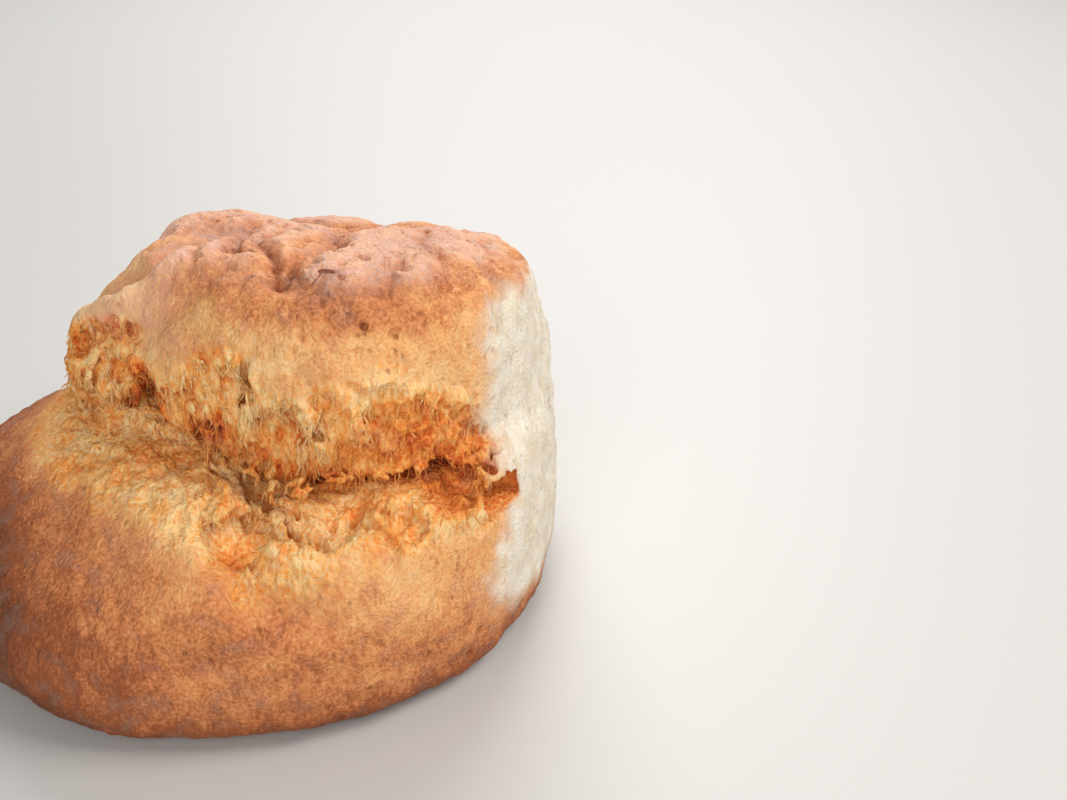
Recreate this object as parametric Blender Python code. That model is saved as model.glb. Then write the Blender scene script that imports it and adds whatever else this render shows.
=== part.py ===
"""A tall hand-shaped scone, baked as one piece of dough.

The scone stands on its flat base. It has a wide, bulging lower half and a smaller upper half that
leans back, with a split round the front waist between them. The +X side is a steep wall, where
the dough rose against its neighbour on the tray.

Run with blender --background --python part.py, or from Blender's text editor. Units are metres,
+Z is up, -Y is the split front, and the origin is under the middle of the scone, on its base.
"""

from math import copysign, cos, pi, sin

import bmesh
import bpy

MM = 0.001

# Overall size: everything below is drawn in millimetres on a body of this width, depth and height.
WIDTH = 100.0 * MM
DEPTH = 99.0 * MM
HEIGHT = 61.0 * MM

# How finely the dough's outline is divided, and how square its plan is (2 is an ellipse).
SIDES = 60
PLAN_SQUARENESS = 2.25

# The body, as rings from the base to the top, in millimetres:
# height at the front, height at the back, rise from left to right, left edge, right edge, front
# edge, back edge.
RINGS = {
    "base edge": (0.0, 0.0, 0.0, -45.0, 43.0, -49.4, 39.0),
    "foot": (2.2, 2.2, 0.0, -48.6, 46.6, -53.0, 42.2),
    "low belly": (8.0, 8.0, 0.0, -50.6, 48.6, -54.4, 44.0),
    "belly": (15.0, 14.0, 2.0, -50.8, 49.2, -54.2, 44.4),
    "shoulder": (21.5, 19.0, 4.0, -48.6, 49.2, -52.4, 43.6),
    "high shoulder": (27.0, 23.0, 5.0, -44.0, 49.0, -49.2, 42.0),
    "lower lip": (31.0, 27.0, 3.0, -37.5, 48.7, -44.4, 40.6),
    "split floor": (30.4, 29.4, 0.0, -31.5, 48.5, -36.2, 39.8),
    "split roof": (33.6, 31.4, -1.0, -29.0, 48.4, -34.4, 39.4),
    "upper lip": (37.5, 34.2, -1.0, -27.2, 48.2, -37.2, 38.8),
    "face, low": (43.5, 37.6, -1.5, -24.4, 47.9, -37.4, 38.0),
    "face, middle": (49.5, 41.0, -2.0, -20.4, 47.4, -36.0, 36.6),
    "face, high": (55.0, 44.0, -2.5, -16.6, 46.6, -33.8, 34.4),
    "top rim": (58.8, 46.4, -3.0, -12.6, 44.6, -30.4, 30.6),
    "crown": (60.8, 48.4, -3.0, -6.4, 40.0, -24.6, 24.6),
    "crown, middle": (60.4, 50.4, -3.0, 2.0, 31.6, -15.0, 15.6),
    "crown, inner": (58.4, 52.6, -1.5, 10.6, 22.4, -5.8, 6.4),
}

# Crust colour and finish.
CRUST_COLOUR = (0.62, 0.36, 0.16, 1.0)
CRUST_ROUGHNESS = 0.85
CRUST_METALLIC = 0.0


def clear_scene():
    """Removes every object that the scene holds."""
    for thing in list(bpy.data.objects):
        bpy.data.objects.remove(thing, do_unlink=True)


def superellipse(angle, squareness):
    """A point on a unit superellipse at an angle, in radians."""
    along_x = copysign(abs(cos(angle)) ** (2.0 / squareness), cos(angle))
    along_y = copysign(abs(sin(angle)) ** (2.0 / squareness), sin(angle))
    return along_x, along_y


def ring_points(ring):
    """The points of one ring, in millimetres, counterclockwise as seen from above."""
    front_height, back_height, rise, left, right, front, back = ring
    middle_x = (left + right) / 2.0
    middle_y = (front + back) / 2.0
    points = []
    for side in range(SIDES):
        across, along = superellipse(2.0 * pi * side / SIDES, PLAN_SQUARENESS)
        x = middle_x + across * (right - left) / 2.0
        y = middle_y + along * (back - front) / 2.0
        backward = (y - front) / (back - front)
        z = front_height + (back_height - front_height) * backward + rise * across / 2.0
        points.append((x, y, z))
    return points


def bridge(mesh, lower, upper):
    """Joins two rings of vertices with a band of four-sided faces."""
    for side in range(SIDES):
        ahead = (side + 1) % SIDES
        mesh.faces.new((lower[side], lower[ahead], upper[ahead], upper[side]))


def fit_to_size(mesh):
    """Scales the vertices to the overall size, centred over the origin and standing on Z = 0."""
    low = [min(v.co[axis] for v in mesh.verts) for axis in range(3)]
    high = [max(v.co[axis] for v in mesh.verts) for axis in range(3)]
    size = (WIDTH, DEPTH, HEIGHT)
    floor_shift = (0.5, 0.5, 0.0)
    for vertex in mesh.verts:
        for axis in range(3):
            share = (vertex.co[axis] - low[axis]) / (high[axis] - low[axis])
            vertex.co[axis] = (share - floor_shift[axis]) * size[axis]


def scone_mesh():
    """The scone as one closed skin: a flat base, a band between each two rings, and a top."""
    shape = bmesh.new()
    rings = [[shape.verts.new(point) for point in ring_points(ring)] for ring in RINGS.values()]
    shape.faces.new(reversed(rings[0]))
    for lower, upper in zip(rings, rings[1:]):
        bridge(shape, lower, upper)
    shape.faces.new(rings[-1])
    fit_to_size(shape)
    bmesh.ops.recalc_face_normals(shape, faces=shape.faces)
    mesh = bpy.data.meshes.new("scone")
    shape.to_mesh(mesh)
    shape.free()
    mesh.shade_smooth()
    return mesh


def crust_material():
    """The golden-brown crust."""
    material = bpy.data.materials.new("baked_dough")
    material.use_nodes = True
    shader = material.node_tree.nodes["Principled BSDF"]
    shader.inputs["Base Color"].default_value = CRUST_COLOUR
    shader.inputs["Roughness"].default_value = CRUST_ROUGHNESS
    shader.inputs["Metallic"].default_value = CRUST_METALLIC
    return material


def main():
    clear_scene()
    mesh = scone_mesh()
    mesh.materials.append(crust_material())
    scone = bpy.data.objects.new("scone", mesh)
    bpy.context.scene.collection.objects.link(scone)


main()
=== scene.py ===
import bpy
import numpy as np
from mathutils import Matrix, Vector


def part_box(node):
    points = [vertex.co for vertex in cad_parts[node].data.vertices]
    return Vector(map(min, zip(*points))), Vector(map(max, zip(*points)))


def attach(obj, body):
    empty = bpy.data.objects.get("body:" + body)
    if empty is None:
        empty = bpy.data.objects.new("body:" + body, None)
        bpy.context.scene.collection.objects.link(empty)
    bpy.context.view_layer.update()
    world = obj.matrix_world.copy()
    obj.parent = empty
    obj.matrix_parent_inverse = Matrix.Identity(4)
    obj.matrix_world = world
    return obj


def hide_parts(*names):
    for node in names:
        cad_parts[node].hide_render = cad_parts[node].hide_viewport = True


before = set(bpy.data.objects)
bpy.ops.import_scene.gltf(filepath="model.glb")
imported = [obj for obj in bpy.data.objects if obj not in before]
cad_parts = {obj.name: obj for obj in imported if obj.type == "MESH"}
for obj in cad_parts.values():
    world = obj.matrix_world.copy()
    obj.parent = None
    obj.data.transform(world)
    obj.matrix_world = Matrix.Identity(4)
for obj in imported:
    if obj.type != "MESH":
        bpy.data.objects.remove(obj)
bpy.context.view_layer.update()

# A tall rustic scone, baked as one piece. Its surface is worked out as a field of distances on a
# fine grid (negative inside the dough), then meshed, marked by region and given one material.
# The field is drawn in millimetres: +Z is up, -Y is the split front, +X is the pale side wall.

import openvdb
from mathutils import Euler, Vector

MM = 0.001

# The fine grid's spacing, and how many of its steps one step of the coarse grid takes.
VOXEL = 0.42
COARSE_STEP = 4

node_low, node_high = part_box("scone")


# ---------------------------------------------------------------------------------------------
# Number helpers
# ---------------------------------------------------------------------------------------------

def ramp(value, start, end):
    """0 before start, 1 after end, smooth between."""
    t = np.clip((value - start) / (end - start), 0.0, 1.0)
    return t * t * (3.0 - 2.0 * t)


def smooth_min(a, b, k):
    """The lower of two fields, with the corner between them rounded over about k."""
    h = np.clip(0.5 + 0.5 * (b - a) / k, 0.0, 1.0)
    return b + (a - b) * h - k * h * (1.0 - h)


def smooth_max(a, b, k):
    """The higher of two fields, with the corner between them rounded over about k."""
    return -smooth_min(-a, -b, k)


def smooth_curve(value, knots, heights):
    """A curve through given points, without corners, read at each value."""
    knots = np.asarray(knots, float)
    heights = np.asarray(heights, float)
    slopes = np.gradient(heights, knots)
    fine = np.linspace(knots[0], knots[-1], 400)
    span = np.clip(np.searchsorted(knots, fine, side="right") - 1, 0, len(knots) - 2)
    width = knots[span + 1] - knots[span]
    t = (fine - knots[span]) / width
    curve = (
        (2 * t**3 - 3 * t**2 + 1) * heights[span]
        + (t**3 - 2 * t**2 + t) * width * slopes[span]
        + (3 * t**2 - 2 * t**3) * heights[span + 1]
        + (t**3 - t**2) * width * slopes[span + 1]
    )
    return np.interp(value, fine, curve).astype(np.float32)


# ---------------------------------------------------------------------------------------------
# Noise: random lattices, read with a fixed seed
# ---------------------------------------------------------------------------------------------

LATTICE = 64
SHEETS = 8
SEED = 20

# Noise and bubbles are read this many cells away from the lattice's corner.
NOISE_START = 31.7
BUBBLE_START = 17.3

random = np.random.default_rng(SEED)
lattice_values = random.uniform(-1.0, 1.0, (SHEETS, LATTICE**3)).astype(np.float32)
lattice_points = random.uniform(0.0, 1.0, (4, LATTICE**3)).astype(np.float32)


def lattice_index(i, j, k):
    """Where a lattice cell's values are kept; the lattice repeats on all sides."""
    return ((i % LATTICE) * LATTICE + j % LATTICE) * LATTICE + k % LATTICE


def noise(x, y, z, size, sheet=0):
    """Smooth noise from -1 to 1 with features about size across; size may differ by axis."""
    sizes = size if isinstance(size, tuple) else (size, size, size)
    cells = []
    shares = []
    for place, cell in zip((x, y, z), sizes):
        scaled = place / cell + NOISE_START
        low = np.floor(scaled)
        t = (scaled - low).astype(np.float32)
        cells.append(low.astype(np.int32))
        shares.append(t * t * t * (t * (t * 6.0 - 15.0) + 10.0))
    total = np.zeros(len(x), np.float32)
    for corner in range(8):
        steps = (corner >> 2 & 1, corner >> 1 & 1, corner & 1)
        weight = np.ones(len(x), np.float32)
        for step, share in zip(steps, shares):
            weight *= share if step else 1.0 - share
        index = lattice_index(*(cell + step for cell, step in zip(cells, steps)))
        total += weight * lattice_values[sheet][index]
    return total


def layered_noise(x, y, z, size, layers, sheet=0):
    """Several noises, each half as large and half as strong as the last."""
    sizes = size if isinstance(size, tuple) else (size, size, size)
    total = np.zeros(len(x), np.float32)
    for layer in range(layers):
        shrink = 0.5**layer
        shrunk = tuple(s * shrink for s in sizes)
        total += noise(x, y, z, shrunk, (sheet + layer) % SHEETS) * shrink
    return total


def bubbles(x, y, z, size, fill):
    """Depth inside scattered round bubbles, one in each cell of this size: 0 outside, 1 at a middle.
    fill is the largest bubble's radius as a share of its cell."""
    sizes = size if isinstance(size, tuple) else (size, size, size)
    scaled = [place / cell + BUBBLE_START for place, cell in zip((x, y, z), sizes)]
    cells = [np.floor(s).astype(np.int32) for s in scaled]
    inside = np.zeros(len(x), np.float32)
    for corner in range(27):
        steps = (corner // 9 - 1, corner // 3 % 3 - 1, corner % 3 - 1)
        cell = [c + step for c, step in zip(cells, steps)]
        index = lattice_index(*cell)
        gap = np.zeros(len(x), np.float32)
        for axis in range(3):
            middle = cell[axis] + lattice_points[axis][index]
            gap += (scaled[axis] - middle) ** 2
        radius = fill * (0.35 + 0.65 * lattice_points[3][index])
        np.maximum(inside, 1.0 - np.sqrt(gap) / radius, out=inside)
    return inside


# ---------------------------------------------------------------------------------------------
# The dough's two masses
# ---------------------------------------------------------------------------------------------

# How square the plans are: 2 is an ellipse.
PLAN_SQUARENESS = 2.25

# How far the corners between faces are rounded over.
LOWER_ROUNDING = {"corner": 9.0, "shoulder": 5.0, "rim": 6.0}
UPPER_ROUNDING = {"corner": 8.0, "rim": 9.0, "lobes": 4.0, "underside": 5.0}

# Lower mass: the edges of its plan at each height.
LOWER = {
    "height": (0.0, 2.0, 7.0, 14.0, 21.0, 27.0, 33.0),
    "left": (-44.5, -47.8, -49.4, -48.6, -42.0, -33.5, -25.0),
    "right": (43.6, 46.8, 49.0, 49.7, 49.6, 49.0, 48.4),
    "front": (-44.6, -47.6, -49.2, -49.2, -47.6, -44.4, -38.6),
    "back": (44.0, 46.8, 48.6, 49.0, 48.4, 47.0, 45.0),
}
# Its crest has this height at this x, and rises gently to the right.
CREST_HEIGHT = 31.6
CREST_X = -20.0
CREST_RISE = 0.04
# Behind the left shoulder it falls away steeply: the slope has this height at this x and y.
FALL_HEIGHT = 24.0
FALL_PLACE = (-40.5, 4.6)
FALL_SLOPES = (0.45, -0.5)
FALL_STEEPNESS = 0.83
# The front left corner is cut away, more so further up.
LOWER_CORNER_NORMAL = (-0.69, -0.724)
LOWER_CORNER = {
    "height": (0.0, 3.0, 10.0, 18.0, 27.0, 33.0),
    "reach": (46.0, 48.6, 48.6, 43.0, 32.0, 25.0),
}

# Upper mass: the edges of its plan at each height up its leaning axis.
UPPER = {
    "height": (20.0, 30.0, 33.0, 36.0, 40.5, 45.2, 49.5, 53.0, 56.0, 62.0),
    "left": (-28.0, -28.0, -27.0, -26.0, -24.0, -20.6, -16.4, -14.2, -13.0, -12.0),
    "right": (47.6, 48.0, 48.0, 47.8, 47.4, 46.8, 46.0, 45.4, 44.8, 44.4),
    "front": (-27.0, -29.0, -31.0, -32.8, -33.0, -31.6, -29.4, -27.4, -26.6, -26.0),
    "back": (44.5, 44.8, 44.4, 43.8, 43.0, 41.6, 39.4, 38.0, 37.6, 37.0),
}
UPPER_CROWN = 56.6
UPPER_FLOOR = 29.0
# Above this height it leans: heights shrink by these shares for each millimetre back and right.
LEAN_START = 30.0
LEAN_BACK = 0.0100
LEAN_RIGHT = 0.0016
# Its front left corner is cut away too.
UPPER_CORNER_NORMAL = (-0.544, -0.839)
UPPER_CORNER = {
    "height": (20.0, 31.0, 36.0, 41.0, 46.0, 50.0, 54.0, 60.0),
    "reach": (17.0, 18.5, 21.5, 22.5, 21.0, 18.8, 16.5, 15.0),
}

# Lobes that swell out of the upper mass: middle and radii.
LOBES = (
    ((-3.4, 12.6, 45.0), (10.6, 11.0, 9.4)),
    ((-8.2, -7.0, 41.4), (12.4, 10.0, 9.0)),
    ((28.0, -6.0, 47.0), (14.0, 17.0, 9.3)),
)

# Creases in the top crust: points in plan, depth, and width of the shoulders beside it. They
# wander by about this much to either side.
CREASE_WANDER = 1.1
CREASES = (
    (((19, 17), (15, 9), (17, -1), (16, -13), (14, -21)), 2.7, 4.6),
    (((16, 13), (14, -3), (12, -9)), 1.6, 3.6),
    (((8, 11), (6, -3), (9, -14), (13, -21)), 2.3, 4.6),
    (((2, 13), (3, -6), (5, -13)), 2.3, 5.0),
    (((1, 9), (0, 0), (-2, -12)), 1.7, 4.0),
    (((-2, 16), (-8, 5), (-14, -1), (-22, 1), (-30, 6)), 1.6, 6.0),
    (((-10, 8), (-14, 12), (-22, 14)), 1.2, 4.5),
    (((27, -14), (28, -19), (27, -25)), 1.1, 3.2),
    (((29, 14), (31, -6), (35, -19)), 1.3, 5.0),
    (((38, 9), (39, -4), (42, -15)), 1.0, 4.0),
    (((19, 17), (22, 25), (20, 32)), 2.2, 7.0),
    (((19, 17), (30, 23), (37, 24)), 2.0, 7.0),
    (((19, 17), (8, 24), (1, 29)), 2.2, 8.0),
    (((33, 31), (30, 26), (35, 18)), 1.2, 5.0),
    (((18, 12), (20, 20)), 3.2, 9.0),
)

# Folds down the upper mass's front left: points, depth (a ridge's is negative), and half width.
FOLDS = (
    (
        (
            (-2, 7, 55), (-4, -2, 58), (-5, -9, 58), (-8, -12, 55),
            (-13, -9, 53), (-18, -6, 50), (-24, -2, 46),
        ),
        5.8,
        5.0,
    ),
    (((-3, -10, 58), (-6, -14, 56), (-11, -15, 53), (-19, -10, 47)), -2.4, 5.5),
    (((3, -19, 59), (-1, -20, 54), (-6, -20, 50), (-12, -18, 45)), 1.8, 4.5),
    (((-8, -2, 56), (-10, -5, 55), (-14, -6, 52)), 1.2, 3.0),
)

# Small deep pits in the upper crust: middle and radius.
PITS = (
    ((24.2, -28.4, 54.0), 0.6),
    ((24.4, -25.6, 57.6), 0.6),
    ((26.2, -24.6, 57.0), 0.5),
    ((16.2, -30.0, 52.8), 0.6),
    ((15.0, -30.6, 51.4), 0.6),
    ((31.4, -25.6, 54.6), 0.6),
    ((34.0, -24.8, 52.6), 0.6),
    ((5.0, -28.2, 51.0), 0.7),
    ((20.0, -32.4, 48.4), 0.6),
    ((28.6, -30.8, 50.2), 0.5),
)

# The split's path round the front, from left to right.
SPLIT = {
    "x": (-32.0, -24.0, -16.0, -10.0, -2.5, 4.0, 11.0, 17.0, 25.0, 33.0, 40.0, 46.0),
    "y": (0.0, -6.6, -10.6, -14.4, -18.6, -25.0, -29.6, -31.4, -31.2, -30.0, -28.6, -25.5),
    "z": (32.5, 33.2, 33.6, 33.6, 31.8, 30.6, 30.0, 29.8, 30.6, 30.2, 28.6, 28.0),
}

# The split's line slants in plan, so a step back in y leads only this far away from it.
SPLIT_SLANT = 0.85

# The split's mouth: where along x it starts and stops being open, how deep it goes, and how far
# back it would narrow to nothing.
MOUTH_LEFT = (-28.0, -22.0)
MOUTH_RIGHT = (35.0, 38.5)
MOUTH_DEPTH = 9.0
MOUTH_TAPER = 7.5

# How far the torn crumb reaches from the split, above it and below it, from left to right.
TORN_REACH = {
    "x": (-32.0, -25.0, -18.0, -11.0, -4.0, 4.0, 12.0, 21.0, 30.0, 36.0, 41.0),
    "above": (12.5, 13.5, 14.5, 15.5, 17.0, 17.0, 18.0, 18.5, 18.0, 15.5, 10.0),
    "below": (11.0, 13.5, 16.5, 18.5, 19.0, 18.0, 15.5, 11.5, 8.0, 7.0, 6.5),
}

# Hollows torn out beside the split: middle, radii, and how toasted the crumb inside is.
HOLLOWS = (
    ((-19.6, -13.4, 44.6), (2.0, 2.6, 2.0), 0.70),
    ((-16.4, -15.2, 46.8), (1.6, 2.2, 1.3), 0.75),
    ((-12.0, -17.8, 48.0), (2.0, 2.2, 1.1), 0.60),
    ((-15.0, -17.0, 42.4), (4.4, 2.2, 3.0), 0.15),
    ((-9.2, -20.6, 40.8), (3.6, 4.6, 4.0), 0.85),
    ((-7.5, -17.5, 37.0), (3.4, 5.4, 2.2), 1.00),
    ((3.2, -28.4, 44.2), (6.6, 3.3, 5.2), 0.10),
    ((1.4, -26.5, 38.0), (2.2, 3.4, 1.4), 0.80),
    ((10.8, -31.8, 38.6), (7.0, 4.0, 5.6), 0.05),
    ((27.4, -31.6, 41.4), (2.0, 2.4, 2.8), 0.55),
    ((32.2, -30.2, 41.2), (3.6, 3.0, 3.4), 0.55),
    ((22.5, -31.6, 36.0), (3.0, 2.6, 3.4), 0.45),
    ((35.4, -28.6, 29.8), (3.6, 5.2, 2.5), 0.66),
    ((18.0, -37.0, 29.6), (5.8, 4.0, 3.0), 0.10),
    ((28.8, -37.0, 29.6), (3.4, 3.2, 2.8), 0.35),
    ((8.0, -38.5, 29.4), (3.6, 3.0, 2.6), 0.25),
    ((-23.0, -17.0, 31.2), (3.4, 2.4, 1.5), 0.05),
    ((-18.5, -20.5, 31.4), (3.4, 2.4, 1.5), 0.10),
)

# The small square notch at the split's right end: middle and half-sizes.
NOTCH = ((41.4, -25.5, 27.4), (2.4, 5.5, 2.1))
NOTCH_TOAST = 0.56

# The pale side wall starts at about this x.
SIDE_EDGE = 42.0

# The crust's left flap ends at this x, at this height, and reaches less far further up. It stands
# proud, and the crumb beside it is sunken.
FLAP_X = 3.2
FLAP_HEIGHT = 27.0
FLAP_SLOPE = 0.8
FLAP_PROUD = 0.6
FLAP_SUNKEN = 2.4


def plan_field(x, y, left, right, front, back):
    """Distance outside an upright wall whose plan is a superellipse with these edges."""
    half_x = (right - left) / 2.0
    half_y = (back - front) / 2.0
    across = np.abs(x - (left + right) / 2.0) / half_x
    along = np.abs(y - (front + back) / 2.0) / half_y
    reach = (across**PLAN_SQUARENESS + along**PLAN_SQUARENESS) ** (1.0 / PLAN_SQUARENESS)
    return (reach - 1.0) * np.minimum(half_x, half_y)


def edges(table, height):
    """The left, right, front and back edges of a plan at each height."""
    sides = ("left", "right", "front", "back")
    return [smooth_curve(height, table["height"], table[side]) for side in sides]


def lower_mass(x, y, z):
    """Distance outside the wide lower half."""
    wall = plan_field(x, y, *edges(LOWER, z))
    reach = smooth_curve(z, LOWER_CORNER["height"], LOWER_CORNER["reach"])
    corner = LOWER_CORNER_NORMAL[0] * x + LOWER_CORNER_NORMAL[1] * y - reach
    wall = smooth_max(wall, corner, LOWER_ROUNDING["corner"])
    crest = z - CREST_HEIGHT - CREST_RISE * (x - CREST_X)
    beside, beyond = x - FALL_PLACE[0], y - FALL_PLACE[1]
    fall = z - FALL_HEIGHT - FALL_SLOPES[0] * beside - FALL_SLOPES[1] * beyond
    fall = FALL_STEEPNESS * fall
    top = smooth_max(crest, fall, LOWER_ROUNDING["shoulder"])
    return smooth_max(wall, top, LOWER_ROUNDING["rim"])


def lobe(x, y, z, middle, radii):
    """Distance outside an egg-shaped lobe."""
    shares = [(place - m) / r for place, m, r in zip((x, y, z), middle, radii)]
    return (np.sqrt(sum(s * s for s in shares)) - 1.0) * min(radii)


def line_distance(place, points):
    """Distance from a line through these points; place and points have 2 or 3 axes."""
    nearest = np.full(len(place[0]), 1e6, np.float32)
    for start, end in zip(points, points[1:]):
        step = [b - a for a, b in zip(start, end)]
        share = sum((p - a) * s for p, a, s in zip(place, start, step)) / sum(s * s for s in step)
        share = np.clip(share, 0.0, 1.0)
        gap = sum((p - a - share * s) ** 2 for p, a, s in zip(place, start, step))
        np.minimum(nearest, gap, out=nearest)
    return np.sqrt(nearest)


def valley(distance, deep, width):
    """Depth of a crease this far from its bottom line, between pillowed shoulders."""
    beside = 1.0 - np.clip(distance / width, 0.0, 1.0)
    return deep * (0.5 * (1.0 - np.sqrt(1.0 - beside * beside)) + 0.5 * beside * beside)


def creases(x, y, z):
    """Depth of the creases and folds in the top crust, with pillowed dough between them."""
    wander_x = x + CREASE_WANDER * layered_noise(x, y, z, 6.0, 3, 0)
    wander_y = y + CREASE_WANDER * layered_noise(x, y, z, 6.0, 3, 2)
    depth = np.zeros(len(x), np.float32)
    for points, deep, width in CREASES:
        away = line_distance((wander_x, wander_y), points)
        np.maximum(depth, valley(away, deep, width), out=depth)
    depth = depth * ramp(z, 34.0, 44.0)
    # The folds wander half as much.
    place = (0.5 * (x + wander_x), 0.5 * (y + wander_y), z)
    for points, deep, width in FOLDS:
        depth = depth + valley(line_distance(place, points), deep, width)
    return depth


def height_up_axis(x, y, z):
    """Height up the upper mass's leaning axis."""
    return LEAN_START + (z - LEAN_START) / (1.0 - LEAN_BACK * y - LEAN_RIGHT * x)


def upper_mass(x, y, z):
    """Distance outside the smaller upper half, with its lobes, creases and folds."""
    height = height_up_axis(x, y, z)
    wall = plan_field(x, y, *edges(UPPER, height))
    reach = smooth_curve(height, UPPER_CORNER["height"], UPPER_CORNER["reach"])
    corner = UPPER_CORNER_NORMAL[0] * x + UPPER_CORNER_NORMAL[1] * y - reach
    wall = smooth_max(wall, corner, UPPER_ROUNDING["corner"])
    crown = height - UPPER_CROWN
    body = smooth_max(wall, crown, UPPER_ROUNDING["rim"])
    for middle, radii in LOBES:
        body = smooth_min(body, lobe(x, y, z, middle, radii), UPPER_ROUNDING["lobes"])
    body = body + creases(x, y, z)
    return smooth_max(body, UPPER_FLOOR - z, UPPER_ROUNDING["underside"])


def split_place(x, y, z):
    """Distance behind the split's line, height above it, and distance from it."""
    line_y = smooth_curve(x, SPLIT["x"], SPLIT["y"])
    line_z = smooth_curve(x, SPLIT["x"], SPLIT["z"])
    behind = (y - line_y) * SPLIT_SLANT
    above = z - line_z
    return behind, above, np.sqrt(behind**2 + above**2)


def mouth_place(x, y, z):
    """Distance outside the split's open mouth, and whether there is a mouth at this x at all."""
    behind, above, _ = split_place(x, y, z)
    sway = layered_noise(x, y, z, 7.0, 2, 3)
    width = 1.5 + 1.4 * noise(x, y, z, 9.0, 5)
    inside = ramp(x, *MOUTH_LEFT) * (1.0 - ramp(x, *MOUTH_RIGHT))
    opening = 1.0 - np.maximum(behind, -1.5) / MOUTH_TAPER
    middle = 0.6 + 1.6 * ramp(-x, -5.0, 3.0)
    mouth = np.abs(above - middle + 1.2 * sway) - width * opening * inside
    return np.maximum(mouth, behind - MOUTH_DEPTH), inside > 0.0


def macro_field(x, y, z):
    """The two masses joined, with the split opened between them."""
    lower = lower_mass(x, y, z)
    upper = upper_mass(x, y, z)
    # The waist between them is sharp in front and softer towards the right and the back.
    softness = 1.4 + 2.0 * ramp(x, 40.0, 48.0) + 6.0 * ramp(y, 6.0, 26.0)
    body = smooth_min(lower, upper, softness)
    mouth, has_mouth = mouth_place(x, y, z)
    body = np.where(has_mouth, smooth_max(body, -mouth, 1.2), body)
    return np.maximum(body, -z).astype(np.float32)


def hollow_share(x, y, z):
    """1 inside any hollow beside the split, 0 a little way outside them all."""
    share = np.zeros(len(x), np.float32)
    for middle, radii, _ in HOLLOWS:
        np.maximum(share, 1.0 - ramp(lobe(x, y, z, middle, radii), 0.4, 2.0), out=share)
    return share


def torn_share(x, y, z):
    """1 where the crust is torn open and crumb shows, 0 on whole crust."""
    behind, above, away = split_place(x, y, z)
    ragged = away + 2.4 * layered_noise(x, y, z, (3.0, 6.0, 8.0), 4, 6)
    reach_above = smooth_curve(x, TORN_REACH["x"], TORN_REACH["above"])
    reach_below = smooth_curve(x, TORN_REACH["x"], TORN_REACH["below"])
    reach = reach_below + (reach_above - reach_below) * ramp(above, -2.0, 2.0)
    ends = ramp(x, -33.0, -27.0) * (1.0 - ramp(x, 39.5, 42.5)) * (1.0 - ramp(behind, 12.0, 18.0))
    share = (1.0 - ramp(ragged, reach - 6.5, reach + 2.0)) * ends
    return np.maximum(share, hollow_share(x, y, z))


def side_share(x, y, z):
    """1 on the pale wall at +X, where the dough rose against its neighbour."""
    patch = layered_noise(x, y, z, 9.0, 4, 5)
    height = height_up_axis(x, y, z)
    # Its front edge stands back at the waist and comes forward above it.
    waist = ramp(z, 18.0, 24.0) * (1.0 - ramp(z, 28.0, 32.0))
    beyond = x - SIDE_EDGE + 1.3 * patch - 2.0 * waist + ramp(z, 32.0, 36.0)
    below_cap = 1.0 - ramp(height + patch, 48.5, 53.5)
    share = ramp(beyond, -5.2, 2.6) * below_cap * ramp(z + patch, 5.0, 13.0)
    return share * (1.0 - ramp(y, 26.0, 36.0))


def flap(x, y, z):
    """Depth taken away along the crust's left flap: negative on the flap, which stands proud, and
    positive on the sunken crumb to its right."""
    above = split_place(x, y, z)[1]
    edge = FLAP_X - FLAP_SLOPE * (z - FLAP_HEIGHT) + 0.8 * layered_noise(x, y, z, 2.4, 2, 3)
    beside = x - edge
    proud = -FLAP_PROUD * (1.0 - ramp(-beside, 6.0, 20.0))
    sunken = FLAP_SUNKEN * (1.0 - ramp(beside, 2.0, 15.0))
    step = proud + (sunken - proud) * ramp(beside, -0.3, 0.7)
    return step * ramp(above, -14.0, -8.0) * (1.0 - ramp(above, -3.0, 0.5))


def pit(x, y, z, middle, radius):
    """Distance outside a small pit, drawn out along Y, into the dough."""
    return lobe(x, y, z, middle, (radius, 2.0 * radius, radius))


def scooped(x, y, z, body):
    """The body with the hollows, the pits and the notch taken out."""
    rough = 0.7 * layered_noise(x, y, z, (1.6, 2.6, 3.4), 3, 0)
    for middle, radii, _ in HOLLOWS:
        body = smooth_max(body, -lobe(x, y, z, middle, radii) + rough, 0.8)
    for middle, radius in PITS:
        body = smooth_max(body, -pit(x, y, z, middle, radius) + 0.3 * rough, 0.3)
    gaps = [np.abs(place - m) - half for place, m, half in zip((x, y, z), *NOTCH)]
    notch = np.maximum(np.maximum(gaps[0], gaps[1]), gaps[2]) - 0.3 * rough
    return np.maximum(body, -notch)


# In the reliefs below, every noise has its features' size in millimetres, and is multiplied by its
# height in millimetres.

def crumb_relief(x, y, z):
    """Torn crumb's fibres and bubbles, in millimetres: positive takes dough away."""
    behind, above, _ = split_place(x, y, z)
    sway_x = x + 1.6 * layered_noise(x, y, z, 5.0, 3, 1)
    sway_z = above + 1.6 * layered_noise(x, y, z, 5.0, 3, 4)
    fibres = np.abs(layered_noise(sway_x, behind, sway_z, (1.3, 2.4, 4.4), 2, 2))
    grain = layered_noise(sway_x, behind, sway_z, (1.0, 1.1, 1.6), 1, 3)
    lumps = layered_noise(sway_x, behind, sway_z, (3.6, 4.0, 5.0), 3, 5)
    holes = bubbles(sway_x, behind, sway_z, (3.2, 3.6, 4.8), 0.55)
    small = bubbles(sway_x, behind, sway_z, (1.4, 1.7, 2.2), 0.6)
    scoops = 1.5 * ramp(holes, -0.15, 0.9) + 0.7 * small
    strength = 0.68 + 0.32 * ramp(above, -2.0, 1.0)
    return strength * (1.5 * fibres - 0.5 + 0.35 * grain + 0.6 * lumps + scoops)


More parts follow.
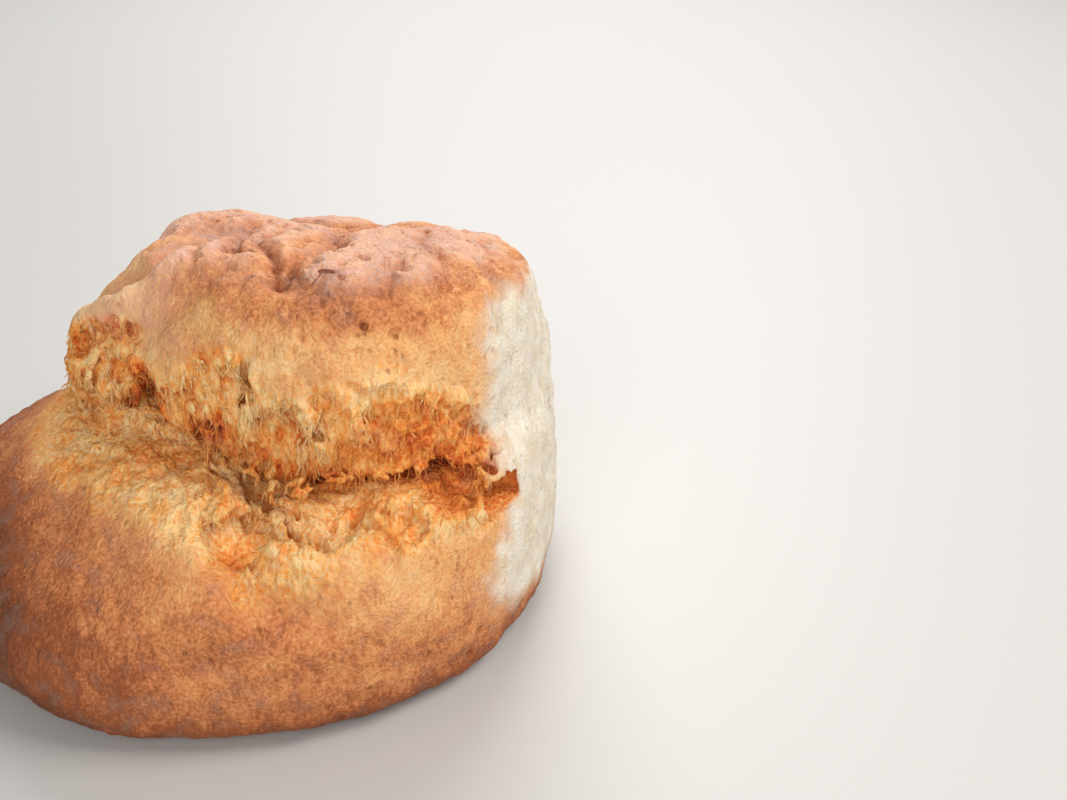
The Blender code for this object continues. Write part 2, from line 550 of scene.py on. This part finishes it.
def side_relief(x, y, z):
    """The pale wall's fine crumb and pits, in millimetres: positive takes dough away."""
    waves = 0.35 * layered_noise(x, y, z, (3.0, 3.0, 4.0), 4, 2)
    return waves + 0.8 * bubbles(x, y, z, (2.2, 2.2, 3.0), 0.36)


def crust_relief(x, y, z):
    """The crust's knobs, wrinkles, cracks and pits, in millimetres: positive takes dough away."""
    knobs = 0.34 * layered_noise(x, y, z, 7.0, 4, 4) + 0.12 * layered_noise(x, y, z, 1.3, 1, 2)
    wrinkles = 0.32 * (1.0 - np.abs(layered_noise(x, y, z, (2.2, 2.2, 6.0), 3, 7)))
    lines = ramp(1.0 - 2.4 * np.abs(layered_noise(x, y, z, 5.5, 3, 6)), 0.45, 1.0)
    cracks = lines * (0.15 + 0.55 * ramp(height_up_axis(x, y, z), 50.0, 54.0))
    scatter = ramp(noise(x, y, z, 6.0, 1), -0.4, 0.5)
    pits = 1.1 * bubbles(x, y, z, (2.2, 2.2, 3.0), 0.40)
    return knobs + wrinkles + cracks + pits * scatter - 0.15


def finished_field(x, y, z):
    """The whole scone's surface, with every detail that the mesh carries."""
    torn = torn_share(x, y, z)
    side = side_share(x, y, z) * (1.0 - torn)
    relief = crust_relief(x, y, z) * (1.0 - torn - side)
    for share, shape in ((torn, crumb_relief), (side, side_relief)):
        some = share > 0.0
        relief[some] += share[some] * shape(x[some], y[some], z[some])
    body = scooped(x, y, z, macro_field(x, y, z)) + flap(x, y, z)
    return np.maximum(body + relief, -z)


# ---------------------------------------------------------------------------------------------
# From field to mesh
# ---------------------------------------------------------------------------------------------

# Room left round the frame's box, and the distance at which the field is cut off.
MARGIN = 3.0
FIELD_LIMIT = 3.0 * VOXEL

# The fine field is worked out only this near the coarse surface: outside it, inside it, and inside
# it near the split, where the hollows go deep.
BAND_OUTSIDE = 3.2
BAND_INSIDE = 3.6
BAND_INSIDE_SPLIT = 8.0
NEAR_SPLIT = 17.0


def grid_axes(step):
    """The places of the grid's planes along each axis."""
    axes = []
    for low, high in zip(node_low, node_high):
        start = low / MM - MARGIN
        axes.append(start + np.arange(0.0, (high - low) / MM + 2.0 * MARGIN, step))
    return axes


def refined(coarse):
    """A coarse grid's values, repeated for every step of the fine grid."""
    for axis in range(3):
        coarse = np.repeat(coarse, COARSE_STEP, axis=axis)
    return coarse


def field_grid():
    """The finished field on the fine grid: exact near the surface, only a sign elsewhere."""
    axes = grid_axes(VOXEL * COARSE_STEP)
    spread = np.meshgrid(*axes, indexing="ij")
    places = [s.ravel().astype(np.float32) for s in spread]
    away = split_place(*places)[2].reshape(spread[0].shape)
    depth = refined(np.where(away < NEAR_SPLIT, BAND_INSIDE_SPLIT, BAND_INSIDE))
    rough = refined(macro_field(*places).reshape(spread[0].shape))
    near = np.nonzero((rough < BAND_OUTSIDE) & (rough > -depth))
    offset = 0.5 * (COARSE_STEP - 1) * VOXEL
    start = [axis[0] - offset for axis in axes]
    x, y, z = ((steps * VOXEL + s).astype(np.float32) for steps, s in zip(near, start))
    field = np.where(rough > 0.0, FIELD_LIMIT, -FIELD_LIMIT).astype(np.float32)
    field[near] = np.clip(finished_field(x, y, z), -FIELD_LIMIT, FIELD_LIMIT)
    for axis in range(3):
        layers = np.moveaxis(field, axis, 0)
        layers[0] = FIELD_LIMIT
        layers[-1] = FIELD_LIMIT
    return field, start


def main_shell(count, quads):
    """Which vertices belong to the largest connected skin, which leaves out sealed bubbles."""
    label = np.arange(count)
    ends_a = quads.ravel()
    ends_b = np.roll(quads, -1, axis=1).ravel()
    while True:
        lowest = np.minimum(label[ends_a], label[ends_b])
        before = label.copy()
        np.minimum.at(label, ends_a, lowest)
        np.minimum.at(label, ends_b, lowest)
        label = label[label]
        label = label[label]
        if np.array_equal(before, label):
            break
    return label == np.bincount(label).argmax()


def scone_mesh():
    """The scone's skin as points in millimetres and quads that face outward."""
    field, start = field_grid()
    grid = openvdb.FloatGrid(background=FIELD_LIMIT)
    grid.copyFromArray(field)
    points, quads = grid.convertToQuads(0.0)
    points = points * VOXEL + np.array(start)
    quads = quads.astype(np.int64)
    kept = main_shell(len(points), quads)
    quads = quads[kept[quads[:, 0]]]
    renumber = np.cumsum(kept) - 1
    points = points[kept]
    quads = renumber[quads]
    # A negative volume means that the quads face inward.
    first, second, third = (points[quads[:, corner]] for corner in range(3))
    if float((np.cross(first, second) * third).sum()) < 0.0:
        quads = quads[:, ::-1]
    return points, quads


def notch_mark(x, y, z, sunk):
    """1 inside the square notch."""
    share = ramp(sunk, 0.3, 1.2)
    for place, middle, half in zip((x, y, z), *NOTCH):
        share = share * (1.0 - ramp(np.abs(place - middle), half + 0.1, half + 0.9))
    return share


def bake_and_shade_mark(x, y, z, patch, crease):
    """How brown the crust is, from pale to dark: darkest at the foot and low on the left (partly a
    darker bake, partly painted shade), painted shade in creases and pits, and palest on the upper face
    and near the torn crumb."""
    _, above, away = split_place(x, y, z)
    fleck = layered_noise(x, y, z, 2.2, 3, 7)
    height = height_up_axis(x, y, z)
    cap_line = height + 0.12 * (x - 20.0) * ramp(-x, -20.0, 10.0) + 1.4 * patch
    cap = ramp(cap_line, 47.5, 51.0)
    foot = 1.0 - ramp(z + 1.5 * patch, 1.0, 9.0)
    near_torn = 1.0 - ramp(away + 2.5 * patch, 10.0, 19.0)
    upper_face = ramp(above, 4.0, 10.0) * (1.0 - ramp(height, 51.0, 55.5))
    low_left = (1.0 - ramp(x, -36.0, 0.0)) * (1.0 - ramp(z, 18.0, 34.0))
    low = 1.0 - ramp(z, 8.0, 30.0)
    # The foot, the low left and the low crust are darker partly from a darker bake and partly as
    # painted shade; creases get painted shade.
    bake_and_shade = 0.52 + 0.08 * patch + 0.03 * fleck + 0.28 * foot + 0.38 * low_left + 0.10 * low
    bake_and_shade = bake_and_shade - 0.12 * upper_face * (1.0 - cap) - 0.10 * near_torn + 0.03 * cap + 0.09 * crease
    # Painted shade in the pits.
    for middle, radius in PITS:
        bake_and_shade = bake_and_shade + 0.3 * (1.0 - ramp(pit(x, y, z, middle, radius), -0.5, 0.1))
    return bake_and_shade


def toast_and_shade_mark(x, y, z, patch, sunk, notch):
    """How toasted the torn crumb is, from pale to dark: darkest on the split's upper lip and in some
    of the hollows, and deep in its mouth and in sunken places, where it is partly toasted and partly
    painted shade."""
    behind, above, away = split_place(x, y, z)
    fleck = layered_noise(x, y, z, 2.2, 3, 7)
    lip = ramp(above, -1.0, 1.5) * (1.0 - ramp(away + patch, 6.0, 15.0)) * ramp(x, -12.0, 14.0)
    # The last term darkens sunken crumb a little as painted shade.
    toast_and_shade = 0.27 + 0.18 * patch + 0.12 * fleck + 0.26 * lip + 0.03 * sunk
    # Deep in the split's mouth the crumb is darker, partly toasted and partly painted shade.
    toast_and_shade = toast_and_shade + 0.40 * ramp(behind, 1.5, 6.0) * (1.0 - ramp(np.abs(above), 1.0, 3.5))
    for middle, radii, tone in HOLLOWS:
        inside = 1.0 - ramp(lobe(x, y, z, middle, radii), 0.1, 1.3)
        toast_and_shade = toast_and_shade + inside * (tone - toast_and_shade) * 0.75
    return toast_and_shade + notch * (NOTCH_TOAST - toast_and_shade)


def flour_and_sheen_mark(x, y, z, patch, crease):
    """How much flour and painted sheen lie on the crust: on the crown, most on its ridges, and on its
    left shoulder.
    """
    height = height_up_axis(x, y, z)
    top = ramp(height, 51.0, 55.5)
    ridge = top * (1.0 - ramp(crease, 0.1, 1.0)) * ramp(height + 2.0 * patch, 53.0, 57.0)
    left_ridge = (1.0 - ramp(x, -8.0, 2.0)) * ramp(z, 45.0, 50.0)
    # Ridges get the most: partly flour, partly a painted highlight.
    flour_and_sheen = 0.8 * ridge + (0.4 + 0.3 * patch) * top + (0.45 + 0.3 * patch) * left_ridge
    return np.clip(flour_and_sheen, 0.0, 1.0)


def marks(points):
    """What each point of the surface is made of, as shares, and which points are in the notch."""
    x, y, z = (points[:, axis].astype(np.float32) for axis in range(3))
    sunk = np.clip(-macro_field(x, y, z), 0.0, 6.0)
    patch = layered_noise(x, y, z, 9.0, 3, 5)
    crease = creases(x, y, z)
    notch = notch_mark(x, y, z, sunk)
    shares = {
        "torn": np.maximum(torn_share(x, y, z), notch),
        "side": side_share(x, y, z) * (1.0 - notch),
        "bake_and_shade": bake_and_shade_mark(x, y, z, patch, crease),
        "toast_and_shade": toast_and_shade_mark(x, y, z, patch, sunk, notch),
        "flour_and_sheen": flour_and_sheen_mark(x, y, z, patch, crease),
    }
    return shares, notch


def outward(points, quads):
    """The surface's outward direction at each point."""
    across = points[quads[:, 2]] - points[quads[:, 0]]
    along = points[quads[:, 3]] - points[quads[:, 1]]
    facing = np.cross(across, along)
    normals = np.zeros_like(points)
    for corner in range(4):
        for axis in range(3):
            normals[:, axis] += np.bincount(quads[:, corner], facing[:, axis], len(points))
    return unit(normals)


# Strands of pulled dough: how many, how finely each tube is divided, and, in millimetres, the
# ranges of their lengths, radii and lift, the spread of their curl, and the depth of their roots.
STRANDS = 3000
STRAND_RINGS = 6
STRAND_SIDES = 4
STRAND_LENGTH = (0.8, 2.6)
STRAND_RADIUS = (0.07, 0.16)
STRAND_LIFT = (-0.1, 0.35)
STRAND_CURL = 0.12
STRAND_CURL_BOW = 0.6
STRAND_ROOT_DEPTH = 0.25
# The share of its radius that a strand loses by its tip.
STRAND_TAPER = 0.75

# Strands grow where the crumb is at least this torn. They hang down and a little forward on
# upright crumb, and lie towards the front on crumb that faces up.
STRAND_TORN = 0.55
PULL_UPRIGHT = np.array((0.05, -0.35, -1.0))
PULL_FLAT = np.array((0.10, -1.00, -0.50))
# How much the pull varies, and the share of it that leads off the surface.
PULL_SPREAD = 0.28
PULL_OFF_SURFACE = 0.45


def tube_quads():
    """One strand's quads: its sides, then its two ends."""
    quads = []
    for ring in range(STRAND_RINGS - 1):
        for step in range(STRAND_SIDES):
            here = ring * STRAND_SIDES + step
            ahead = ring * STRAND_SIDES + (step + 1) % STRAND_SIDES
            quads.append((here, ahead, ahead + STRAND_SIDES, here + STRAND_SIDES))
    last = (STRAND_RINGS - 1) * STRAND_SIDES
    quads.append(tuple(range(STRAND_SIDES))[::-1])
    quads.append(tuple(range(last, last + STRAND_SIDES)))
    return np.array(quads)


def unit(vectors):
    """The vectors at length 1."""
    return vectors / np.maximum(np.linalg.norm(vectors, axis=1), 1e-9)[:, None]


def strands(points, normals, torn):
    """Thin strands of pulled dough that lie over the torn crumb, as points, quads and roots."""
    roots = random.choice(np.nonzero(torn > STRAND_TORN)[0], STRANDS)
    start = points[roots]
    normal = normals[roots]
    upward = np.clip(normal[:, 2:], 0.0, 1.0)
    pull = random.normal(0.0, PULL_SPREAD, (STRANDS, 3)) + PULL_UPRIGHT * (1.0 - upward)
    pull = pull + PULL_FLAT * upward
    along = pull - (pull * normal).sum(1)[:, None] * normal
    along = unit(along + PULL_OFF_SURFACE * pull)
    length = random.uniform(*STRAND_LENGTH, (STRANDS, 1))
    lift = random.uniform(*STRAND_LIFT, (STRANDS, 1))
    curl = random.normal(0.0, STRAND_CURL, (STRANDS, 3))
    radius = random.uniform(*STRAND_RADIUS, (STRANDS, 1))
    side = unit(np.cross(along, normal))
    rise = np.cross(side, along)
    root = start - STRAND_ROOT_DEPTH * normal
    rings = []
    for ring in range(STRAND_RINGS):
        t = ring / (STRAND_RINGS - 1)
        bow = 4.0 * t * (1.0 - t)
        middle = root + along * length * t + (rise * lift + curl * STRAND_CURL_BOW) * bow
        thick = radius * (1.0 - STRAND_TAPER * t**3)
        for step in range(STRAND_SIDES):
            turn = 2.0 * np.pi * step / STRAND_SIDES
            rings.append(middle + (side * np.cos(turn) + rise * np.sin(turn)) * thick)
    strand_points = np.stack(rings, axis=1).reshape(-1, 3)
    strand_points[:, 2] = np.maximum(strand_points[:, 2], 0.0)
    per_strand = STRAND_RINGS * STRAND_SIDES
    first = np.arange(STRANDS)[:, None, None] * per_strand
    quads = (tube_quads()[None] + first).reshape(-1, 4)
    return strand_points, quads, np.repeat(roots, per_strand)


def mesh_object(name, points, quads):
    """A mesh object in metres."""
    mesh = bpy.data.meshes.new(name)
    mesh.vertices.add(len(points))
    mesh.vertices.foreach_set("co", (points * MM).astype(np.float32).ravel())
    mesh.loops.add(quads.size)
    mesh.loops.foreach_set("vertex_index", quads.astype(np.int32).ravel())
    mesh.polygons.add(len(quads))
    mesh.polygons.foreach_set("loop_start", np.arange(0, quads.size, 4, dtype=np.int32))
    mesh.update(calc_edges=True)
    mesh.shade_smooth()
    thing = bpy.data.objects.new(name, mesh)
    bpy.context.scene.collection.objects.link(thing)
    return thing


# ---------------------------------------------------------------------------------------------
# Baked dough, as one material
# ---------------------------------------------------------------------------------------------

# Colours from pale to dark, as screen colours from 0 to 255, each at its place along the mark.
CRUST_COLOURS = (
    (0.10, (243, 207, 154)),
    (0.36, (233, 173, 110)),
    (0.56, (213, 136, 82)),
    (0.76, (162, 88, 46)),
    (1.00, (108, 55, 29)),
)
CRUMB_COLOURS = (
    (0.02, (255, 212, 150)),
    (0.28, (250, 180, 100)),
    (0.52, (240, 148, 64)),
    (0.76, (220, 108, 40)),
    (1.00, (164, 66, 20)),
)
# The pale wall's colours, from dull to bright.
SIDE_COLOURS = (
    (0.0, (222, 202, 174)),
    (0.5, (234, 222, 202)),
    (1.0, (242, 233, 217)),
)
# Painted shade for the sunken pores: darker colours laid into them.
CRUST_PORE_SHADE = (120, 62, 28)
SIDE_PORE_SHADE = (178, 156, 116)
# The flour colour is partly real flour and partly a painted sheen of light on the crown's ridges.
FLOUR_AND_SHEEN = (240, 212, 200)

# How much the painted shade in the pores, and the flour with its painted sheen, colour what they lie
# on.
CRUST_PORE_SHADE_STRENGTH = 0.55
SIDE_PORE_SHADE_STRENGTH = 0.35
FLOUR_AND_SHEEN_STRENGTH = 0.8

ROUGHNESS = (0.62, 0.88)
SPECULAR = 0.35
SUBSURFACE_WEIGHT = 0.22
SUBSURFACE_RADIUS = (1.0, 0.5, 0.22)
SUBSURFACE_SCALE = 0.0022
BUMP_HEIGHT = 0.0007

# Most of a noise texture's values lie between these.
NOISE_LOW = 0.3
NOISE_HIGH = 0.7


class Nodes:
    """Short calls for building one material's nodes."""

    def __init__(self, material):
        material.use_nodes = True
        self.tree = material.node_tree
        self.shader = self.tree.nodes["Principled BSDF"]
        self.place = self.tree.nodes.new("ShaderNodeTexCoord").outputs["Object"]

    def plug(self, socket, value):
        """Links or sets a socket."""
        if isinstance(value, bpy.types.NodeSocket):
            self.tree.links.new(value, socket)
        else:
            socket.default_value = value

    def mark(self, name):
        """One of the surface's marks."""
        node = self.tree.nodes.new("ShaderNodeAttribute")
        node.attribute_name = name
        return node.outputs["Fac"]

    def math(self, kind, a, b=0.0):
        """A sum, difference or product."""
        node = self.tree.nodes.new("ShaderNodeMath")
        node.operation = kind
        self.plug(node.inputs[0], a)
        self.plug(node.inputs[1], b)
        return node.outputs[0]

    def fit(self, value, low, high, new_low=0.0, new_high=1.0):
        """The value carried from one range to another, smoothly and without passing its ends."""
        node = self.tree.nodes.new("ShaderNodeMapRange")
        node.interpolation_type = "SMOOTHSTEP"
        self.plug(node.inputs["Value"], value)
        node.inputs["From Min"].default_value = low
        node.inputs["From Max"].default_value = high
        node.inputs["To Min"].default_value = new_low
        node.inputs["To Max"].default_value = new_high
        return node.outputs["Result"]

    def vary(self, value, texture, amount):
        """The value, lowered and raised by up to this amount by a noise texture."""
        return self.math("ADD", value, self.fit(texture, NOISE_LOW, NOISE_HIGH, -amount, amount))

    def mix(self, share, a, b):
        """Colour a, with this share of colour b."""
        node = self.tree.nodes.new("ShaderNodeMix")
        node.data_type = "RGBA"
        self.plug(node.inputs[0], share)
        self.plug(node.inputs[6], a)
        self.plug(node.inputs[7], b)
        return node.outputs[2]

    def ramp(self, value, stops):
        """A colour that runs through these stops as the value rises."""
        node = self.tree.nodes.new("ShaderNodeValToRGB")
        elements = node.color_ramp.elements
        while len(elements) < len(stops):
            elements.new(0.5)
        for element, (place, colour) in zip(elements, stops):
            element.position = place
            element.color = srgb(colour)
        self.plug(node.inputs[0], value)
        return node.outputs[0]

    def stretched(self, stretch):
        """The place on the object, scaled along each axis."""
        node = self.tree.nodes.new("ShaderNodeMapping")
        node.inputs["Scale"].default_value = stretch
        self.plug(node.inputs["Vector"], self.place)
        return node.outputs[0]

    def noise(self, size, detail=3.0, stretch=(1.0, 1.0, 1.0), warp=0.0):
        """Noise with features about size millimetres across."""
        node = self.tree.nodes.new("ShaderNodeTexNoise")
        self.plug(node.inputs["Vector"], self.stretched(stretch))
        node.inputs["Scale"].default_value = 1.0 / (size * MM)
        node.inputs["Detail"].default_value = detail
        node.inputs["Distortion"].default_value = warp
        return node.outputs["Fac"]

    def cells(self, size, stretch=(1.0, 1.0, 1.0)):
        """Distance from scattered points about size millimetres apart, from 0 to about 1."""
        node = self.tree.nodes.new("ShaderNodeTexVoronoi")
        self.plug(node.inputs["Vector"], self.stretched(stretch))
        node.inputs["Scale"].default_value = 1.0 / (size * MM)
        return node.outputs["Distance"]


def srgb(colour):
    """A screen colour, from 0 to 255, as the linear colour that shaders use, opaque."""
    shares = [channel / 255.0 for channel in colour]
    linear = [s / 12.92 if s <= 0.04045 else ((s + 0.055) / 1.055) ** 2.4 for s in shares]
    return (*linear, 1.0)


def crust_colour(nodes, grain, mottle, streak, pores):
    """Brown crust, darker where it is more baked or given painted shade, with painted shade in its
    sunken pores.
    """
    bake_and_shade = nodes.vary(nodes.mark("bake_and_shade"), grain, 0.09)
    bake_and_shade = nodes.vary(bake_and_shade, mottle, 0.07)
    bake_and_shade = nodes.vary(bake_and_shade, streak, 0.05)
    crust = nodes.ramp(bake_and_shade, CRUST_COLOURS)
    return nodes.mix(nodes.math("MULTIPLY", pores, CRUST_PORE_SHADE_STRENGTH), crust, srgb(CRUST_PORE_SHADE))


def crumb_colour(nodes, grain, streak):
    """Torn crumb, yellow where it is pale and orange where it is toasted or given painted shade."""
    toast_and_shade = nodes.vary(nodes.mark("toast_and_shade"), streak, 0.20)
    toast_and_shade = nodes.vary(toast_and_shade, grain, 0.10)
    return nodes.ramp(toast_and_shade, CRUMB_COLOURS)


def side_colour(nodes, grain, mottle, pores):
    """The pale side wall, with painted shade in its sunken pores."""
    broad = nodes.fit(mottle, NOISE_LOW, NOISE_HIGH, 0.0, 0.6)
    fine = nodes.fit(grain, NOISE_LOW, NOISE_HIGH, 0.0, 0.4)
    side = nodes.ramp(nodes.math("ADD", broad, fine), SIDE_COLOURS)
    return nodes.mix(nodes.math("MULTIPLY", pores, SIDE_PORE_SHADE_STRENGTH), side, srgb(SIDE_PORE_SHADE))


def surface_bump(nodes, grain, streak, pores, torn):
    """Fine grain, hairs that are stronger on torn crumb, and sunken pores."""
    relief = nodes.math("MULTIPLY", grain, 0.7)
    hairs = nodes.math("MULTIPLY", streak, nodes.fit(torn, 0.0, 1.0, 0.35, 1.0))
    relief = nodes.math("ADD", relief, hairs)
    relief = nodes.math("SUBTRACT", relief, nodes.math("MULTIPLY", pores, 0.5))
    bump = nodes.tree.nodes.new("ShaderNodeBump")
    bump.inputs["Strength"].default_value = 1.0
    bump.inputs["Distance"].default_value = BUMP_HEIGHT
    nodes.plug(bump.inputs["Height"], relief)
    return bump.outputs["Normal"]


def baked_dough():
    """Crust, torn crumb, pale side wall, and flour with a painted sheen, laid out by the surface's
    marks.
    """
    material = bpy.data.materials.new("baked_dough")
    nodes = Nodes(material)
    grain = nodes.noise(0.45, 5.0)
    mottle = nodes.noise(3.4, 5.0, warp=0.3)
    streak = nodes.noise(0.6, 5.0, stretch=(1.0, 1.0, 0.36))
    speck = nodes.cells(1.5, stretch=(1.0, 1.0, 0.7))
    scatter = nodes.fit(nodes.noise(5.0, 2.0), 0.45, 0.7)
    pores = nodes.math("MULTIPLY", nodes.fit(speck, 0.08, 0.30, 1.0, 0.0), scatter)
    torn = nodes.mark("torn")

    crust = crust_colour(nodes, grain, mottle, streak, pores)
    crumb = crumb_colour(nodes, grain, streak)
    side = side_colour(nodes, grain, mottle, pores)
    torn_edge = nodes.fit(nodes.vary(torn, grain, 0.3), 0.1, 0.9)
    side_edge = nodes.fit(nodes.vary(nodes.mark("side"), mottle, 0.15), 0.0, 0.9)
    colour = nodes.mix(torn_edge, crust, crumb)
    colour = nodes.mix(side_edge, colour, side)
    dust_and_sheen = nodes.math("MULTIPLY", nodes.mark("flour_and_sheen"), nodes.fit(grain, 0.35, 0.75, 0.25, 0.85))
    colour = nodes.mix(nodes.math("MULTIPLY", dust_and_sheen, FLOUR_AND_SHEEN_STRENGTH), colour, srgb(FLOUR_AND_SHEEN))

    shader = nodes.shader.inputs
    nodes.plug(shader["Base Color"], colour)
    nodes.plug(shader["Roughness"], nodes.fit(grain, NOISE_LOW, NOISE_HIGH, *ROUGHNESS))
    shader["Specular IOR Level"].default_value = SPECULAR
    shader["Subsurface Weight"].default_value = SUBSURFACE_WEIGHT
    shader["Subsurface Radius"].default_value = SUBSURFACE_RADIUS
    shader["Subsurface Scale"].default_value = SUBSURFACE_SCALE
    nodes.plug(shader["Normal"], surface_bump(nodes, grain, streak, pores, torn))
    return material


points, quads = scone_mesh()
shares, notch = marks(points)
normals = outward(points, quads)
# No strands grow in the notch, or on crumb that faces well up.
hairy = shares["torn"] * (1.0 - notch) * (1.0 - 0.6 * ramp(normals[:, 2], 0.35, 0.75))
strand_points, strand_quads, roots = strands(points, normals, hairy)
scone = mesh_object(
    "scone_dough",
    np.vstack((points, strand_points)),
    np.vstack((quads, strand_quads + len(points))),
)
for name, share in shares.items():
    mark = scone.data.attributes.new(name, "FLOAT", "POINT")
    mark.data.foreach_set("value", np.concatenate((share, share[roots])).astype(np.float32))
scone.data.materials.append(baked_dough())
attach(scone, "root")
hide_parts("scone")


# ---------------------------------------------------------------------------------------------
# Floor, light and camera, in metres
# ---------------------------------------------------------------------------------------------

FLOOR_SIZE = 4.0
FLOOR_COLOUR = (0.55, 0.54, 0.52, 1.0)
WORLD_COLOUR = (1.0, 1.0, 1.0, 1.0)
WORLD_STRENGTH = 0.27

# Each soft light: name, place, width, power and colour. All of them shine at the origin.
LIGHTS = (
    ("key", (0.44, -0.06, 0.50), 0.28, 2.4, (1.0, 0.975, 0.95)),
    ("fill", (-0.02, -0.60, 0.34), 0.50, 2.8, (1.0, 0.99, 0.98)),
    ("back", (0.05, 0.58, 0.48), 0.45, 4.2, (1.0, 0.99, 0.98)),
)

# The camera looks to the back, and down by this many degrees.
CAMERA_PLACE = (0.0461, -0.1807, 0.1248)
CAMERA_DOWN = 28.1
CAMERA_LENS = 43.86
CAMERA_SENSOR = 36.0
CAMERA_NEAREST = 0.01


def pale_floor():
    """A plain pale floor."""
    bpy.ops.mesh.primitive_plane_add(size=FLOOR_SIZE, location=(0.0, 0.0, 0.0))
    floor = bpy.context.object
    floor.name = "floor"
    material = bpy.data.materials.new("floor")
    material.use_nodes = True
    material.node_tree.nodes["Principled BSDF"].inputs["Base Color"].default_value = FLOOR_COLOUR
    floor.data.materials.append(material)


def studio_world():
    """Even white light from all round."""
    world = bpy.data.worlds.new("studio")
    world.use_nodes = True
    background = world.node_tree.nodes["Background"]
    background.inputs["Color"].default_value = WORLD_COLOUR
    background.inputs["Strength"].default_value = WORLD_STRENGTH
    bpy.context.scene.world = world


def soft_light(name, place, width, power, colour):
    """A square soft light that shines at the origin."""
    lamp = bpy.data.lights.new(name, "AREA")
    lamp.size = width
    lamp.energy = power
    lamp.color = colour
    thing = bpy.data.objects.new(name, lamp)
    thing.location = place
    thing.rotation_euler = Vector(place).to_track_quat("Z", "Y").to_euler()
    bpy.context.scene.collection.objects.link(thing)


def camera():
    """The camera, at the photograph's viewing angle."""
    lens = bpy.data.cameras.new("camera")
    lens.lens = CAMERA_LENS
    lens.sensor_width = CAMERA_SENSOR
    lens.clip_start = CAMERA_NEAREST
    thing = bpy.data.objects.new("camera", lens)
    thing.location = CAMERA_PLACE
    thing.rotation_euler = Euler((np.radians(90.0 - CAMERA_DOWN), 0.0, 0.0))
    bpy.context.scene.collection.objects.link(thing)
    bpy.context.scene.camera = thing


pale_floor()
studio_world()
for light in LIGHTS:
    soft_light(*light)
camera()
bpy.context.scene.view_settings.view_transform = "Standard"
